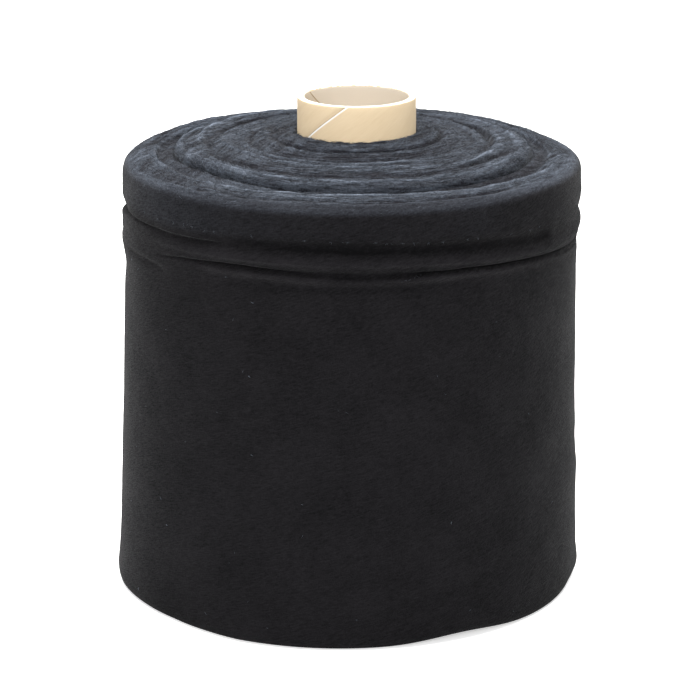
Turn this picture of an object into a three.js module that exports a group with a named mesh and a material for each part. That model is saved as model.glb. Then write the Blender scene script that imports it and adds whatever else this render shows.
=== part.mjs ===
// A roll of molton: one long length of napped cotton cloth, wound flat and tight on a
// paperboard core and stood on its end. Millimetres, +Z up. The origin is on the floor
// in the middle of the roll's foot, and azimuth 0 is the front, along -Y, growing to +X.
import * as THREE from 'three';

// The core: a standard 3 inch tube, which stands proud of the cloth at the top.
const CORE_BORE_RADIUS = 38.1;
const CORE_WALL = 5.3;
const CORE_LENGTH = 363.8;
const CORE_CHAMFER = 0.6;
const CORE_OFFSET_X = 5.7;
const CORE_SEGMENTS = 72;

// The wound cloth: clear of the core by a running gap, and drifting to one side as it rises.
const CORE_GAP = 0.3;
const CLOTH_BORE_RADIUS = CORE_BORE_RADIUS + CORE_WALL + CORE_GAP;
const FOOT_OFFSET_X = -0.9;
const SHOULDER_OFFSET_X = 2.0;
const SHOULDER_HEIGHT = 323;
const CLOTH_SEGMENTS = 72;

// Half section of the wound cloth, from the foot out, up the wall and in over the top rings.
const FOOT = [
  { radius: CLOTH_BORE_RADIUS, height: 0 },
  { radius: 90, height: 0 },
  { radius: 135, height: 0 },
  { radius: 168.5, height: 0 },
  { radius: 172.2, height: 2.4 },
];
const WALL = [
  { radius: 173.4, height: 9 },
  { radius: 172.9, height: 24 },
  { radius: 172.0, height: 45 },
  { radius: 171.0, height: 78 },
  { radius: 169.8, height: 115 },
  { radius: 168.4, height: 155 },
  { radius: 167.5, height: 190 },
  { radius: 166.9, height: 222 },
  { radius: 166.4, height: 245 },
  { radius: 166.9, height: 256 },
  { radius: 167.4, height: 262 },
  { radius: 167.7, height: 266 },
  { radius: 168.0, height: 270 },
  { radius: 168.2, height: 274 },
  { radius: 168.4, height: 278 },
  { radius: 168.6, height: 282 },
  { radius: 168.6, height: 286 },
  { radius: 168.5, height: 290 },
  { radius: 168.3, height: 295 },
  { radius: 168.1, height: 301 },
];
const SHOULDER = [
  { radius: 167.8, height: 307 },
  { radius: 166.5, height: 312.8 },
  { radius: 163.6, height: 317.8 },
  { radius: 159.0, height: 321.4 },
];
const RINGS = [
  { radius: 152, height: 323.2 },
  { radius: 145, height: 323.9 },
  { radius: 140.5, height: 323.4 },
  { radius: 137, height: 320.6 },
  { radius: 134, height: 323.4 },
  { radius: 131, height: 328.2 },
  { radius: 127, height: 330.0 },
  { radius: 117, height: 330.8 },
  { radius: 108, height: 331.2 },
  { radius: 104, height: 330.0 },
  { radius: 100, height: 331.5 },
  { radius: 85, height: 332.2 },
  { radius: 75, height: 332.9 },
  { radius: 66.5, height: 334.6 },
  { radius: 63.6, height: 333.0 },
  { radius: 61, height: 335.4 },
  { radius: 54, height: 337.0 },
  { radius: 47, height: 338.2 },
  { radius: CLOTH_BORE_RADIUS, height: 336.6 },
];
const BORE = [
  { radius: CLOTH_BORE_RADIUS, height: 224 },
  { radius: CLOTH_BORE_RADIUS, height: 112 },
];

// Soft creases that run round the wall under the shoulder. Height is at the front, fall is
// how far the crease drops in a quarter turn to +X, and depth fades out away from middle.
const CREASES = [
  { height: 287.5, fall: 3.5, depth: 2.6, halfHeight: 4.0, middle: 0, halfArc: 400 },
  { height: 274.5, fall: 0.0, depth: 2.1, halfHeight: 2.6, middle: -35, halfArc: 34 },
  { height: 274.6, fall: 5.5, depth: 2.3, halfHeight: 2.6, middle: 48, halfArc: 48 },
  { height: 272.5, fall: 0.0, depth: 1.8, halfHeight: 3.0, middle: 170, halfArc: 70 },
  { height: 266.0, fall: 1.0, depth: 0.8, halfHeight: 4.5, middle: -8, halfArc: 60 },
];

// The top rings rise and dip a little as they go round, more in the middle of the width.
const RING_WAVES = [
  { rise: 0.35, lobes: 2, turn: 0.6 },
  { rise: 0.25, lobes: 5, turn: 2.1 },
];
const WAVE_MIDDLE_RADIUS = 108;
const WAVE_HALF_WIDTH = 36;

const BLACK_MOLTON = new THREE.MeshStandardMaterial({ color: '#26272b', roughness: 0.95, metalness: 0 });
const KRAFT_BOARD = new THREE.MeshStandardMaterial({ color: '#e2ccab', roughness: 0.8, metalness: 0 });

/** A bell that is 1 at 0 and falls to nothing beyond about twice the half width. */
function bell(distance, halfWidth) {
  return Math.exp(-((distance / halfWidth) ** 2));
}

/** The smaller angle from one azimuth to another, in degrees, from -180 to 180. */
function turnBetween(from, to) {
  return THREE.MathUtils.euclideanModulo(to - from + 180, 360) - 180;
}

/** How deep the creases press the wall in at an azimuth in degrees and a height. */
function creaseDepth(azimuth, height) {
  let depth = 0;
  for (const crease of CREASES) {
    const away = turnBetween(crease.middle, azimuth);
    const drop = crease.fall * Math.sin(THREE.MathUtils.degToRad(azimuth));
    const across = height - crease.height + drop;
    depth += crease.depth * bell(away, crease.halfArc) * bell(across, crease.halfHeight);
  }
  return depth;
}

/** How far the top rings rise above their section at an azimuth in radians. */
function ringRise(azimuth, radius) {
  const share = bell(radius - WAVE_MIDDLE_RADIUS, WAVE_HALF_WIDTH);
  let rise = 0;
  for (const wave of RING_WAVES) rise += wave.rise * Math.sin(wave.lobes * azimuth + wave.turn);
  return rise * share;
}

/** Where the middle of a winding lies on X: on the core inside, on the outline outside. */
function windingOffset(radius, height) {
  const outline = THREE.MathUtils.lerp(FOOT_OFFSET_X, SHOULDER_OFFSET_X, height / SHOULDER_HEIGHT);
  const outward = THREE.MathUtils.smoothstep(radius, CLOTH_BORE_RADIUS, WALL[0].radius);
  return THREE.MathUtils.lerp(CORE_OFFSET_X, outline, outward);
}

/** A closed ring of revolution about Z, from rows of radius and height. */
function revolve(rows, segments) {
  const outline = [...rows, rows[0]].map((row) => new THREE.Vector2(row.radius, row.height));
  return new THREE.LatheGeometry(outline, segments).rotateX(Math.PI / 2);
}

/** The wound cloth: revolved, then creased, waved and drifted point by point. */
function makeCloth() {
  const geometry = revolve([...FOOT, ...WALL, ...SHOULDER, ...RINGS, ...BORE], CLOTH_SEGMENTS);
  const points = geometry.attributes.position;
  const lowestCrease = WALL[8].height;
  const lowestRing = RINGS[0].height - 3;
  for (let i = 0; i < points.count; i += 1) {
    const x = points.getX(i);
    const y = points.getY(i);
    const height = points.getZ(i);
    const azimuth = Math.atan2(x, -y);
    const radius = Math.hypot(x, y);
    const onWall = radius > WALL[8].radius - 1 && height > lowestCrease;
    const onRings = height > lowestRing && radius > CLOTH_BORE_RADIUS + 1;
    const pressed = onWall ? creaseDepth(THREE.MathUtils.radToDeg(azimuth), height) : 0;
    const rise = onRings ? ringRise(azimuth, radius) : 0;
    const reach = (radius - pressed) / radius;
    points.setXYZ(i, x * reach + windingOffset(radius, height), y * reach, height + rise);
  }
  return geometry;
}

/** The core tube, square ended with its corners just broken. */
function makeCore() {
  const inner = CORE_BORE_RADIUS;
  const outer = CORE_BORE_RADIUS + CORE_WALL;
  const rows = [
    { radius: inner + CORE_CHAMFER, height: 0 },
    { radius: outer - CORE_CHAMFER, height: 0 },
    { radius: outer, height: CORE_CHAMFER },
    { radius: outer, height: CORE_LENGTH - CORE_CHAMFER },
    { radius: outer - CORE_CHAMFER, height: CORE_LENGTH },
    { radius: inner + CORE_CHAMFER, height: CORE_LENGTH },
    { radius: inner, height: CORE_LENGTH - CORE_CHAMFER },
    { radius: inner, height: CORE_CHAMFER },
  ];
  return revolve(rows, CORE_SEGMENTS);
}

/** A named part of the roll. */
function part(name, geometry, material) {
  const mesh = new THREE.Mesh(geometry, material);
  mesh.name = name;
  return mesh;
}

const roll = new THREE.Group();
roll.name = 'roll_of_molton';

const core = part('core_tube', makeCore(), KRAFT_BOARD);
core.position.x = CORE_OFFSET_X;
roll.add(core, part('molton_roll', makeCloth(), BLACK_MOLTON));

export default roll;
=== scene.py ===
"""A roll of black molton on its paperboard core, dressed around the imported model.

The cloth is wound in two runs of turns: an inner run that climbs towards the core, and an outer run
whose last turns are drawn down over the shoulder and creased below it. The core is a spiral-wound
kraft tube. Sizes are in millimetres in the tables and become metres where the meshes are made.
Azimuth is measured from the front of the roll, -Y, and grows towards +X.
"""

import logging
import math
from dataclasses import dataclass
from enum import Enum
from typing import Callable, NamedTuple

import bpy
import numpy as np
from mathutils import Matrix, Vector


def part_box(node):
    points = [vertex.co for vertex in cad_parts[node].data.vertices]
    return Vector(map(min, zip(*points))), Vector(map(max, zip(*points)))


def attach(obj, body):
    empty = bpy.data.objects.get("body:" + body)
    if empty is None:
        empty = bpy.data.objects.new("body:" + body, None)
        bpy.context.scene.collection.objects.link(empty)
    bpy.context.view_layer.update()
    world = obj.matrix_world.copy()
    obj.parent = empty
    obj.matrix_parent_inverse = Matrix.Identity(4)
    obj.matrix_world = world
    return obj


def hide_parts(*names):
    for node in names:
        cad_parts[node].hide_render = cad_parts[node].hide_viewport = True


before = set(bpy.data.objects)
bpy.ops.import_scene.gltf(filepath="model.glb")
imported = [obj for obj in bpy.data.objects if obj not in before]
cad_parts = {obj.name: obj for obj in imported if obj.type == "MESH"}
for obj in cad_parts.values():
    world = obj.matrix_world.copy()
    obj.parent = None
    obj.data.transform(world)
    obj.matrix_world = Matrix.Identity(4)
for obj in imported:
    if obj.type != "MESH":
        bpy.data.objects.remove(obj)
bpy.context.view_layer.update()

Array = np.ndarray
Piece = bpy.types.Object
Tree = bpy.types.NodeTree
Socket = bpy.types.NodeSocket

LOG = logging.getLogger("roll_of_molton")
MM = 0.001
FULL_TURN = 2 * math.pi
HALF_TURN_DEGREES = 180
TINY = 1e-9
BODY = "root"
CORE_NODE = "core_tube"
MERGE_DISTANCE = 0.02 * MM
PLANE_PRIMES = np.array([374761393, 668265263, 2147483647])
SEED_PRIME = 1274126177
MIXER = 1103515245


# -------------------- small helpers


class Station(NamedTuple):
    """One point of a section: its distance from the axis and its height, in millimetres."""

    radius: float
    height: float


class Run(NamedTuple):
    """A smooth stretch of a section and how closely it is sampled, in millimetres."""

    step: float
    stations: tuple[Station, ...]


def linear(hex_colour: str) -> tuple[float, float, float, float]:
    """Turn an sRGB hex colour into linear light.

    Args:
        hex_colour: six hex digits.

    Returns:
        The linear red, green and blue, and an alpha of 1.
    """
    shares = (int(hex_colour[i : i + 2], 16) / 255 for i in (0, 2, 4))
    light = [s / 12.92 if s <= 0.04045 else ((s + 0.055) / 1.055) ** 2.4 for s in shares]
    return (*light, 1.0)


def deselect_all() -> None:
    """Leave nothing selected, so that an operator acts only on what follows."""
    bpy.ops.object.select_all(action="DESELECT")


def rise(low: float, high: float, value: Array) -> Array:
    """Return 0 below low, 1 above high and a smooth rise between them."""
    share = np.clip((value - low) / (high - low), 0.0, 1.0)
    return share * share * (3 - 2 * share)


def fall(low: float, high: float, value: Array) -> Array:
    """Return 1 below low, 0 above high and a smooth fall between them."""
    return 1 - rise(low, high, value)


def bell(distance: Array, half_width: float) -> Array:
    """Return 1 at no distance, falling away softly over half_width."""
    return np.exp(-((distance / half_width) ** 2))


def two_sided(over: Array, below: float, above: float) -> Array:
    """Measure a distance in widths: above where it is over 0, and below where it is under."""
    return np.where(over > 0, over / above, over / below)


def turned_from(degrees: Array, middle: float) -> Array:
    """Return how far azimuths in degrees lie from a middle one, the shorter way round."""
    return (degrees - middle + HALF_TURN_DEGREES) % (2 * HALF_TURN_DEGREES) - HALF_TURN_DEGREES


def set_round(radius: Array, azimuth: Array, height: Array) -> Array:
    """Return points round the Z axis from their distances, azimuths in radians and heights."""
    return np.stack([radius * np.sin(azimuth), -radius * np.cos(azimuth), height], axis=1)


class Places(NamedTuple):
    """Where points lie round the Z axis: distances and heights in millimetres, azimuths in radians."""

    radius: Array
    azimuth: Array
    height: Array

    @property
    def degrees(self) -> Array:
        """The azimuths in degrees."""
        return np.degrees(self.azimuth)


def places_of(points: Array) -> Places:
    """Return where points given as x, y and z lie round the Z axis."""
    x, y, z = points.T
    return Places(np.hypot(x, y), np.arctan2(x, -y), z.copy())


def lattice_noise(points: Array, seed: int) -> Array:
    """Smooth random values on a lattice of unit cells, the same on every run.

    Args:
        points: an array of n by 3 coordinates, in cells.
        seed: which of the many fields to read.

    Returns:
        n values from -1 to 1.
    """
    cell = np.floor(points).astype(np.int64)
    share = points - cell
    share = share * share * (3 - 2 * share)
    total = np.zeros(len(points))
    for corner in range(8):
        step = np.array([corner & 1, corner >> 1 & 1, corner >> 2 & 1])
        mixed = (cell + step) @ PLANE_PRIMES + seed * SEED_PRIME
        mixed = (mixed ^ (mixed >> 13)) * MIXER & 0x7FFFFFFF
        value = ((mixed ^ (mixed >> 16)) & 0xFFFF) / 32767.5 - 1
        total += value * np.prod(np.where(step == 1, share, 1 - share), axis=1)
    return total


def grain(points: Array, x: float, y: float, z: float, seed: int) -> Array:
    """Return lattice noise whose cells have a given size each way, in the points' own units."""
    return lattice_noise(points / np.array([x, y, z]), seed)


def through(run: Run) -> list[Station]:
    """Draw a smooth line through a run's stations.

    Args:
        run: the stations and the spacing wanted between points.

    Returns:
        Evenly spaced stations along the line, the first and last included.
    """
    rows = np.array(run.stations, float)
    chords = np.hypot(*np.diff(rows, axis=0).T)
    reach = np.concatenate([[0.0], np.cumsum(chords)])
    slopes = np.gradient(rows, reach, axis=0) if len(rows) > 2 else np.diff(rows, axis=0)[[0, 0]] / chords[0]
    at = np.linspace(0, reach[-1], max(1, round(reach[-1] / run.step)) + 1)
    leg = np.clip(np.searchsorted(reach, at, side="right") - 1, 0, len(chords) - 1)
    span = chords[leg][:, None]
    t = (at - reach[leg])[:, None] / span
    line = (
        (2 * t**3 - 3 * t**2 + 1) * rows[leg]
        + (t**3 - 2 * t**2 + t) * span * slopes[leg]
        + (3 * t**2 - 2 * t**3) * rows[leg + 1]
        + (t**3 - t**2) * span * slopes[leg + 1]
    )
    return [Station(float(r), float(h)) for r, h in line]


def run_of(step: float, *rows: tuple[float, float]) -> Run:
    """Make a run from its spacing and the radius and height of each of its stations."""
    return Run(step, tuple(Station(*row) for row in rows))


def join_runs(*runs: Run) -> list[Station]:
    """Join runs end to end into one closed section, with no station twice."""
    return [station for run in runs for station in through(run)[:-1]]


def read_all(items: bpy.types.bpy_prop_collection, field: str, width: int = 1, kind: type = float) -> Array:
    """Read one field of every item of a collection.

    Args:
        items: a mesh's points, faces or kept values.
        field: the field's name.
        width: how many numbers the field has.
        kind: the type of the numbers.

    Returns:
        The numbers, in rows where the field has more than one.
    """
    flat = np.zeros(len(items) * width, kind)
    items.foreach_get(field, flat)
    return flat.reshape(-1, width) if width > 1 else flat


def points_of(piece: Piece) -> Array:
    """Return a piece's points as an array of n by 3, in metres."""
    return read_all(piece.data.vertices, "co", 3)


def place_points(piece: Piece, points: Array) -> None:
    """Move a piece's points to new places, in metres."""
    piece.data.vertices.foreach_set("co", points.ravel())
    piece.data.update()


def keep(piece: Piece, name: str, values: Array) -> None:
    """Keep one number or three for each point of a piece, for its material to read.

    Args:
        piece: the mesh object.
        name: what the attribute is called.
        values: a row for each point.
    """
    kind, field = ("FLOAT", "value") if values.ndim == 1 else ("FLOAT_VECTOR", "vector")
    kept = piece.data.attributes.new(name, kind, "POINT")
    kept.data.foreach_set(field, values.astype(np.float32).ravel())


def turn_section(name: str, outline: list[Station], steps: int) -> Piece:
    """Turn a closed section round the Z axis into a closed shell.

    A circle's ring of points is laid on the section, its distance along the section is kept in the
    attribute "across", and the ring is turned through a full circle.

    Args:
        name: the new object's name.
        outline: the section's stations in order.
        steps: how many steps make the full turn.

    Returns:
        The shell, as a mesh at the origin.
    """
    deselect_all()
    bpy.ops.mesh.primitive_circle_add(vertices=len(outline), radius=0.1)
    shell = bpy.context.object
    shell.name = name
    rows = np.array(outline) * MM
    shell.data.vertices.foreach_set("co", np.stack([0 * rows[:, 0], -rows[:, 0], rows[:, 1]], axis=1).ravel())
    chords = np.hypot(*np.diff(rows, axis=0).T)
    keep(shell, "across", np.concatenate([[0.0], np.cumsum(chords)]))
    turning = shell.modifiers.new("turn", "SCREW")
    turning.axis = "Z"
    turning.angle = FULL_TURN
    turning.steps = turning.render_steps = steps
    turning.use_merge_vertices = True
    turning.merge_threshold = MERGE_DISTANCE
    bpy.ops.object.modifier_apply(modifier=turning.name)
    bpy.ops.object.mode_set(mode="EDIT")
    bpy.ops.mesh.select_all(action="SELECT")
    bpy.ops.mesh.remove_doubles(threshold=MERGE_DISTANCE)
    bpy.ops.mesh.normals_make_consistent(inside=False)
    bpy.ops.object.mode_set(mode="OBJECT")
    bpy.ops.object.shade_smooth()
    return shell


def stand_proud(shell: Piece, points: Array, steps: int, span: float) -> Array:
    """How far each point of a turned shell stands proud of its neighbours along the section.

    Args:
        shell: the shell, with its distance along the section in "across".
        points: where its points are to be, in millimetres.
        steps: how many steps make its full turn.
        span: how far off the neighbours lie on each side, in millimetres.

    Returns:
        Millimetres for each point, above 0 on a crest and below 0 in a groove.
    """
    across = read_all(shell.data.attributes["across"].data, "value", kind=np.float32)
    reach, row = np.unique(np.round(across / MM, 3), return_inverse=True)
    spots = np.zeros((len(reach), steps), int)
    at = places_of(points)
    spots[row, np.round(at.azimuth / FULL_TURN * steps).astype(int) % steps] = np.arange(len(points))
    section = np.stack([at.radius, at.height], axis=1)[spots]

    def beside(distance: float) -> Array:
        """Read the section at a distance along it from each row.

        Args:
            distance: millimetres, below 0 for behind.

        Returns:
            A radius and a height for each row and step.
        """
        index = np.interp(reach + distance, reach, np.arange(len(reach)))
        low = np.minimum(index.astype(int), len(reach) - 2)
        share = (index - low)[:, None, None]
        return section[low] * (1 - share) + section[low + 1] * share

    behind, beyond = beside(-span), beside(span)
    chord = beyond - behind
    outward = np.stack([chord[..., 1], -chord[..., 0]], axis=-1)
    outward /= np.linalg.norm(outward, axis=-1)[..., None] + TINY
    proud = np.zeros(len(points))
    proud[spots] = np.sum((section - (behind + beyond) / 2) * outward, axis=-1)
    return proud


def mesh_piece(name: str, points: Array, triangles: Array) -> Piece:
    """Make an object at the origin from points and triangles.

    Args:
        name: what the object and its mesh are called.
        points: n rows of x, y and z, in metres.
        triangles: three point numbers for each face.

    Returns:
        The new object.
    """
    mesh = bpy.data.meshes.new(name)
    mesh.vertices.add(len(points))
    mesh.vertices.foreach_set("co", points.ravel())
    mesh.loops.add(triangles.size)
    mesh.loops.foreach_set("vertex_index", triangles.ravel())
    mesh.polygons.add(len(triangles))
    mesh.polygons.foreach_set("loop_start", np.arange(0, triangles.size, 3))
    mesh.update(calc_edges=True)
    piece = bpy.data.objects.new(name, mesh)
    bpy.context.scene.collection.objects.link(piece)
    return piece


def dress(piece: Piece, material: bpy.types.Material) -> None:
    """Give a piece one material in place of any it has."""
    piece.data.materials.clear()
    piece.data.materials.append(material)


def mount_piece(piece: Piece, slot: str, *nodes: str) -> None:
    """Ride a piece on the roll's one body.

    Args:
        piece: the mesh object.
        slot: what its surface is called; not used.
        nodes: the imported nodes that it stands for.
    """
    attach(piece, BODY)
    if nodes:
        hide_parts(*nodes)
    LOG.info("%s: %d faces", piece.name, len(piece.data.polygons))


# -------------------- finishes


BLACK, WHITE = "000000", "ffffff"


def new_material(name: str) -> tuple[bpy.types.Material, Tree, bpy.types.Node]:
    """Start a material.

    Args:
        name: the real material and how its surface was made.

    Returns:
        The material, its node tree and its shader.
    """
    material = bpy.data.materials.new(name)
    material.use_nodes = True
    return material, material.node_tree, material.node_tree.nodes["Principled BSDF"]


def feed(tree: Tree, node: bpy.types.Node, inputs: dict) -> None:
    """Give some of a node's inputs what they take.

    Args:
        tree: the material's node tree.
        node: the node.
        inputs: a socket to link or a value, by the input's name or number.
    """
    open_sockets = {s.name: s for s in reversed(node.inputs) if s.enabled}
    for key, value in inputs.items():
        socket = node.inputs[key] if isinstance(key, int) else open_sockets[key]
        if isinstance(value, Socket):
            tree.links.new(value, socket)
        else:
            socket.default_value = value


def add_node(tree: Tree, kind: str, inputs: dict | None = None, **settings) -> bpy.types.Node:
    """Add a node with its settings and its links.

    Args:
        tree: the material's node tree.
        kind: the node's type, without the word that all of them begin with.
        inputs: what each input takes, by name or number: a socket to link, or a value.
        settings: properties of the node itself.

    Returns:
        The new node.
    """
    node = tree.nodes.new("ShaderNode" + kind)
    for key, value in settings.items():
        setattr(node, key, value)
    feed(tree, node, inputs or {})
    return node


def add_math(tree: Tree, operation: str, *values: Socket | float) -> Socket:
    """Work out a sum, product or difference of values."""
    return add_node(tree, "Math", dict(enumerate(values)), operation=operation).outputs[0]


def add_range(tree: Tree, value: Socket, low: float, high: float, start: float = 0, end: float = 1) -> Socket:
    """Turn a value from low to high into one from start to end."""
    return add_node(tree, "MapRange", dict(enumerate((value, low, high, start, end)))).outputs[0]


def add_noise(tree: Tree, place: Socket, size: float, detail: float) -> Socket:
    """Give cloudy noise of a size in millimetres."""
    inputs = {"Vector": place, "Scale": 1 / (size * MM), "Detail": detail}
    return add_node(tree, "TexNoise", inputs).outputs["Fac"]


def add_mix(tree: Tree, factor: Socket | float, a: Socket, b: Socket | tuple, kind: str = "FLOAT") -> Socket:
    """Mix two values, or two colours where the kind is RGBA."""
    node = add_node(tree, "Mix", {"Factor": factor, "A": a, "B": b}, data_type=kind)
    return next(socket for socket in node.outputs if socket.enabled)


def add_bump(tree: Tree, height: Socket, strength: float, distance: float) -> Socket:
    """Raise the surface by a height, over a distance in millimetres."""
    inputs = {"Height": height, "Strength": strength, "Distance": distance * MM}
    return add_node(tree, "Bump", inputs).outputs[0]


def add_ramp(tree: Tree, share: Socket, *stops: tuple[float, str]) -> Socket:
    """Turn a share from 0 to 1 into a colour.

    Args:
        tree: the material's node tree.
        share: the socket that gives the share.
        stops: where each colour lies, and its sRGB hex.

    Returns:
        The ramp's colour socket.
    """
    ramp = add_node(tree, "ValToRGB", {"Fac": share})
    marks = ramp.color_ramp.elements
    while len(marks) < len(stops):
        marks.new(0.5)
    for mark, (position, colour) in zip(marks, stops):
        mark.position = position
        mark.color = linear(colour)
    return ramp.outputs["Color"]


def read_kept(tree: Tree, *names: str, output: str = "Fac") -> list[Socket]:
    """Read what was kept for each point, under each name."""
    return [add_node(tree, "Attribute", attribute_name=name).outputs[output] for name in names]


@dataclass(frozen=True)
class MoltonFinish:
    """Black cotton molton, raised on both faces.

    The brushed nap is a mat of short loose fibres that drinks light seen square on and scatters a
    little seen aslant. Its plain face is the darkest black, painted darker still in the creases and
    round its right side, and paler on the bulges, as painted shade and light. Where it is folded into
    the turns of the top, the fluffed fibre stands open, and there it is painted paler and cooler as
    painted sheen, palest on the crests as painted highlight and darker in the grooves as painted
    shade. Sizes are in millimetres.
    """

    name: str = "black cotton molton, woven and raised on both faces"
    # The face colours run from painted shade deep in the creases to painted light on the bulges. The top
    # colours are painted paler and cooler as sheen, from painted shade in the grooves to painted highlight on
    # the crests.
    face_deep: str = "0b0b0c"
    face_raised: str = "1c1b1d"
    top_painted_shade: str = "16161a"
    top_painted_sheen: str = "40454d"
    top_painted_highlight: str = "626974"
    bloom_low: str = "8c8c8e"
    bloom_weight: float = 0.07
    bloom_roughness: float = 0.45
    brushed: float = 55.0
    streak_length: float = 9.0
    streak_width: float = 1.5
    stroke_length: float = 1.6
    stroke_width: float = 2.6
    fuzz_size: float = 1.2
    fuzz_share: float = 0.35
    patch_size: float = 38.0
    patch_share: float = 0.16
    relief: float = 0.6
    face_mottle: float = 1.0
    mottle: float = 1.1
    palest: float = 1.5

    def make(self) -> bpy.types.Material:
        """Mix the cloth's colours, bloom and relief from what is kept for each point.

        Returns:
            The cloth's material.
        """
        material, tree, shader = new_material(self.name)
        place = add_node(tree, "TexCoord").outputs["Object"]
        x, y, _ = add_node(tree, "SeparateXYZ", {0: place}).outputs
        across, aslant, fluff_and_painted_sheen, crest = read_kept(tree, "across", "aslant", "fluff_and_painted_sheen", "crest")
        (wrap,) = read_kept(tree, "wrap", output="Vector")
        wound = add_node(tree, "CombineXYZ", {0: x, 1: y, 2: across}).outputs[0]
        long, narrow = self.streak_length, self.streak_width
        down_wall = self.streaks(tree, wrap, (self.stroke_width, self.stroke_width, self.stroke_length))
        along_turns = self.streaks(tree, wound, (long, long, narrow))
        brushed_over = self.streaks(tree, place, (long, 1.7 * narrow, long), math.radians(self.brushed))
        streaks = add_mix(tree, fluff_and_painted_sheen, down_wall, add_mix(tree, aslant, along_turns, brushed_over))
        nap = add_mix(tree, self.fuzz_share, streaks, add_noise(tree, place, self.fuzz_size, 2.0))
        shade = add_mix(tree, self.patch_share, nap, add_noise(tree, place, self.patch_size, 2.0))
        share = add_range(tree, shade, 0.38, 0.62)
        amount = add_range(tree, fluff_and_painted_sheen, 0.0, 1.0, self.face_mottle, self.mottle)
        # crest holds the painted light and shade kept for each point: paler on crests and bulges, darker in
        # grooves, creases, the trench and round the right side of the wall.
        mottle_and_painted_light = add_math(tree, "MULTIPLY_ADD", add_math(tree, "SUBTRACT", share, 0.5), amount, crest)
        lit = add_range(tree, mottle_and_painted_light, 0.0, self.palest)
        full = 1 / self.palest
        face = add_ramp(tree, lit, (0.0, self.face_deep), (full, self.face_raised))
        fibre = add_ramp(tree, lit, (0.0, self.top_painted_shade), (full, self.top_painted_sheen), (1.0, self.top_painted_highlight))
        look = {
            "Base Color": add_mix(tree, fluff_and_painted_sheen, face, fibre, "RGBA"),
            "Sheen Tint": add_ramp(tree, share, (0.0, self.bloom_low), (1.0, WHITE)),
            "Normal": add_bump(tree, nap, 1.0, self.relief),
        }
        feed(tree, shader, look | self.gloss())
        return material

    def gloss(self) -> dict[str, float]:
        """Say how dull the fibre is, and how much it blooms seen aslant.

        Returns:
            Values for the shader's inputs, by name.
        """
        return {
            "Roughness": 1.0,
            "Specular IOR Level": 0.05,
            "Sheen Weight": self.bloom_weight,
            "Sheen Roughness": self.bloom_roughness,
        }

    def streaks(self, tree: Tree, place: Socket, size: tuple, turned: float = 0.0) -> Socket:
        """Draw noise out, and turn it about Z.

        Args:
            tree: the material's node tree.
            place: where each point is.
            size: how far the noise is drawn out each way, in millimetres.
            turned: how far it is turned, in radians.

        Returns:
            The socket that gives the streaks.
        """
        inputs = {"Vector": place, "Rotation": (0, 0, turned), "Scale": tuple(side * MM for side in size)}
        drawn = add_node(tree, "Mapping", inputs, vector_type="TEXTURE").outputs[0]
        inputs = {"Vector": drawn, "Scale": 1.0, "Detail": 4.0, "Roughness": 0.65}
        return add_node(tree, "TexNoise", inputs).outputs["Fac"]


@dataclass(frozen=True)
class NapFinish:
    """Loose ends of the cloth's own fibre over the folds, in its painted light and shade, some darker, some
    paler.
    """

    name: str = "black cotton fibre, raised nap"
    cloth: MoltonFinish = MoltonFinish()

    def make(self) -> bpy.types.Material:
        """Colour each tuft by its tone, which carries painted light and shade, in the cloth's own colours.

        Returns:
            The nap's material.
        """
        material, tree, shader = new_material(self.name)
        (tone,) = read_kept(tree, "tone")
        cloth = self.cloth
        stops = (0.0, cloth.top_painted_shade), (0.67, cloth.top_painted_sheen), (1.0, cloth.top_painted_highlight)
        feed(tree, shader, {"Base Color": add_ramp(tree, tone, *stops)} | cloth.gloss())
        return material


@dataclass(frozen=True)
class KraftFinish:
    """Kraft paperboard, rolled smooth: matt tan paper with faint cloudy fibre.

    The liner inside is greyer. The raw edge of the winding is paler, with a dark line where the next
    turn of the strip meets it. The cut rim is pale, with brown flecks where it is worn. Sizes are in
    millimetres.
    """

    name: str = "kraft paperboard, spiral wound and glued"
    paper: str = "ead4b2"
    fibre: str = "e2caa5"
    liner: str = "d1c6b6"
    cut: str = "cfc9bd"
    raw_edge: str = "fffdfa"
    shade: str = "a58e6c"
    fleck: str = "a27f55"
    cloud_size: float = 6.0
    fibre_size: float = 1.3
    fleck_size: float = 2.2
    relief: float = 0.1

    def make(self) -> bpy.types.Material:
        """Lay the board's colours over each other, as what is kept for each point says.

        Returns:
            The board's material.
        """
        material, tree, shader = new_material(self.name)
        place = add_node(tree, "TexCoord").outputs["Object"]
        seam, inward, worn = read_kept(tree, "seam", "inward", "worn")
        (wrap,) = read_kept(tree, "wrap", output="Vector")
        fibres = add_noise(tree, wrap, self.fibre_size, 3.0)
        mixed = add_math(tree, "ADD", add_noise(tree, wrap, self.cloud_size, 4.0), fibres)
        colour = add_ramp(tree, add_range(tree, mixed, 0.55, 1.4), (0.0, self.fibre), (1.0, self.paper))
        inside = add_ramp(tree, inward, (0.0, BLACK), (0.97, BLACK), (1.0, WHITE))
        rim = add_ramp(tree, inward, (0.0, BLACK), (0.02, BLACK), (0.06, WHITE), (0.94, WHITE), (0.98, BLACK))
        spots = add_ramp(tree, add_noise(tree, place, self.fleck_size, 3.0), (0.47, BLACK), (0.55, WHITE))
        for share, over in (
            (inside, self.liner),
            (rim, self.cut),
            (add_range(tree, seam, 0.5, 1.0), self.raw_edge),
            (add_range(tree, seam, 0.5, 0.0), self.shade),
            (add_math(tree, "MULTIPLY", spots, worn), self.fleck),
        ):
            colour = add_mix(tree, share, colour, linear(over), "RGBA")
        look = {"Base Color": colour, "Normal": add_bump(tree, fibres, 0.3, self.relief)}
        feed(tree, shader, look | {"Roughness": 0.75, "Specular IOR Level": 0.3})
        return material


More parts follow.
